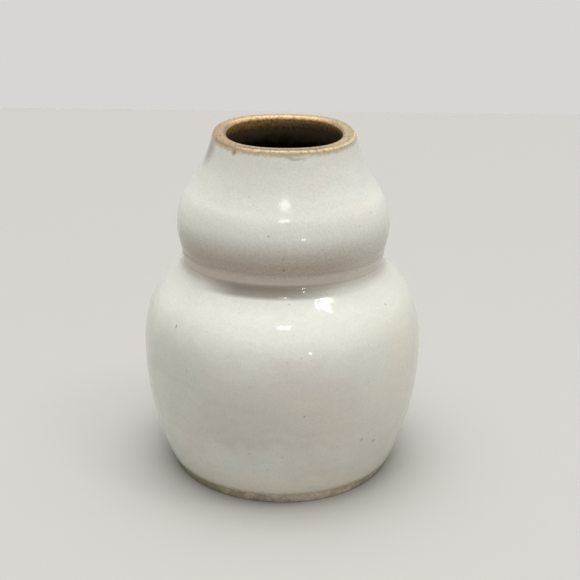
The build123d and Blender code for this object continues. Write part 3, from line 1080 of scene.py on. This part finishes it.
class MakeSlip(bpy.types.Operator):
    """The ring of slip that lutes the two sections together"""

    bl_idname = "vase.make_slip"
    bl_label = "Slip"

    def execute(self, context):
        wall = Wall(context.scene.vase_form)
        corners = [*wall.socket[::-1], wall.joint_top, *wall.spigot[::-1], wall.socket[-1]]
        slip = plain_material("luting_slip", tones()["slip"], 0.85)
        piece = turn_piece("slip_ring", joined(corners, context.scene.vase_hand.coarse_step), slip)
        set_in_frame(piece, "joint_slip")
        return {"FINISHED"}


class SetStage(bpy.types.Operator):
    """The floor, the light and the camera at the photograph's viewing angle"""

    bl_idname = "vase.set_stage"
    bl_label = "Stage"

    def execute(self, context):
        scene = context.scene
        self.make_floor(scene)
        self.make_sky(scene)
        self.make_lamps(scene)
        self.make_camera(scene)
        scene.view_settings.view_transform = "Standard"
        return {"FINISHED"}

    def make_floor(self, scene):
        half, behind = 1.2, 0.5
        # A hair under the foot, so that the two don't share a plane
        level = -0.02 * MM
        corners = [(-half, -half, level), (half, -half, level), (half, behind, level), (-half, behind, level)]
        mesh = bpy.data.meshes.new("floor")
        mesh.from_pydata(corners, [], [(0, 1, 2, 3)])
        floor = bpy.data.objects.new("floor", mesh)
        scene.collection.objects.link(floor)
        mesh.materials.append(plain_material("matt_floor", tones()["floor"], 0.9))

    def make_sky(self, scene):
        """Light that grows upwards, and a plain backdrop wherever the world itself is seen."""
        light = scene.vase_light
        world = bpy.data.worlds.new("soft_sky")
        scene.world = world
        world.use_nodes = True
        tree = world.node_tree
        tree.nodes.clear()
        way = add(tree, "ShaderNodeTexCoord").outputs["Generated"]
        up = add(tree, PARTS, (way,)).outputs["Z"]
        above = add(tree, LARGER, (up, 0.0))
        climb = add(tree, POWER, (above, light.sky_power))
        growth = (climb, light.sky_high - light.sky_low, light.sky_low)
        strength = add(tree, TIMES_PLUS, growth)
        lit = add(tree, "ShaderNodeBackground", {"Color": (1, 1, 1, 1), "Strength": strength})
        seen = add(tree, "ShaderNodeBackground", {"Color": tones()["backdrop"], "Strength": 1.0})
        path = add(tree, "ShaderNodeLightPath").outputs
        either = add(tree, LARGER, (path["Is Camera Ray"], path["Is Glossy Ray"]))
        shown = add(tree, LARGER, (either, path["Is Transmission Ray"]))
        mixed = add(tree, "ShaderNodeMixShader", (shown, lit, seen))
        add(tree, "ShaderNodeOutputWorld", {"Surface": mixed})

    def make_lamps(self, scene):
        # Azimuth from the front and elevation in degrees, roll, width and height in metres, and brightness.
        # The three by the ceiling overlap in one pointed shape.
        lamps = (
            ("front_lamp", 1.5, 43.3, 0, 0.2, 0.1, 7.5),
            ("side_lamp", 22, 9.5, 0, 0.032, 0.032, 90),
            ("ceiling_lamp", 65.3, 58.6, -50, 0.11, 0.12, 8),
            ("ceiling_lamp_left", 60.3, 57.3, -71, 0.28, 0.05, 8),
            ("ceiling_lamp_right", 68.9, 60.9, -26, 0.33, 0.05, 8),
        )
        distance = 1.2
        aim = Vector((0, 0, scene.vase_form.waist_height))
        for name, azimuth, elevation, roll, wide, high, brightness in lamps:
            data = bpy.data.lights.new(name, "AREA")
            data.shape, data.size, data.size_y = "RECTANGLE", wide, high
            data.energy = brightness * pi * wide * high
            lamp = bpy.data.objects.new(name, data)
            scene.collection.objects.link(lamp)
            turn, climb = radians(azimuth), radians(elevation)
            way = Vector((sin(turn) * cos(climb), -cos(turn) * cos(climb), sin(climb)))
            lamp.location = aim + way * distance
            facing = way.to_track_quat("Z", "Y").to_matrix() @ Matrix.Rotation(radians(roll), 3, "Z")
            lamp.rotation_euler = facing.to_euler()

    def make_camera(self, scene):
        """The camera as fitted to the outline, the rim, the waist and the foot in the photograph."""
        place, look_down, roll = Vector((2.4, -391.2, 216.6)) * MM, 21.8, 0.65
        data = bpy.data.cameras.new("camera")
        data.sensor_width, data.lens = 36, 77.6
        camera = bpy.data.objects.new("camera", data)
        scene.collection.objects.link(camera)
        tilt = Matrix.Rotation(radians(90 - look_down), 4, "X") @ Matrix.Rotation(radians(roll), 4, "Z")
        camera.matrix_world = Matrix.Translation(place) @ tilt
        scene.camera = camera


class VASE_PT_panel(bpy.types.Panel):
    """The vase's sizes, colours and light, and a button for each piece and the stage"""

    bl_label = "Gourd vase"
    bl_idname = "VASE_PT_panel"
    bl_space_type = "VIEW_3D"
    bl_region_type = "UI"
    bl_category = "Vase"

    def draw(self, context):
        for group_name in GROUPS:
            group = getattr(context.scene, group_name)
            column = self.layout.column()
            for name in group.__annotations__:
                column.prop(group, name)
        for operator in OPERATORS:
            self.layout.operator(operator.bl_idname)


OPERATORS = (MakeClay, MakeSlip, MakeOuterGlaze, MakeLipGlaze, MakeLiner, SetStage)
GROUPS = {"vase_form": VaseForm, "vase_hand": VaseHand, "vase_colours": VaseColours, "vase_light": VaseLight}


def register():
    for cls in (*GROUPS.values(), *OPERATORS, VASE_PT_panel):
        bpy.utils.register_class(cls)
    for name, group in GROUPS.items():
        setattr(bpy.types.Scene, name, PointerProperty(type=group))


def unregister():
    for name in GROUPS:
        delattr(bpy.types.Scene, name)
    for cls in (VASE_PT_panel, *OPERATORS[::-1], *list(GROUPS.values())[::-1]):
        bpy.utils.unregister_class(cls)


def main():
    register()
    bpy.ops.vase.make_clay()
    bpy.ops.vase.make_slip()
    bpy.ops.vase.make_outer_glaze()
    bpy.ops.vase.make_lip_glaze()
    bpy.ops.vase.make_liner()
    bpy.ops.vase.set_stage()


if __name__ == "__main__":
    main()
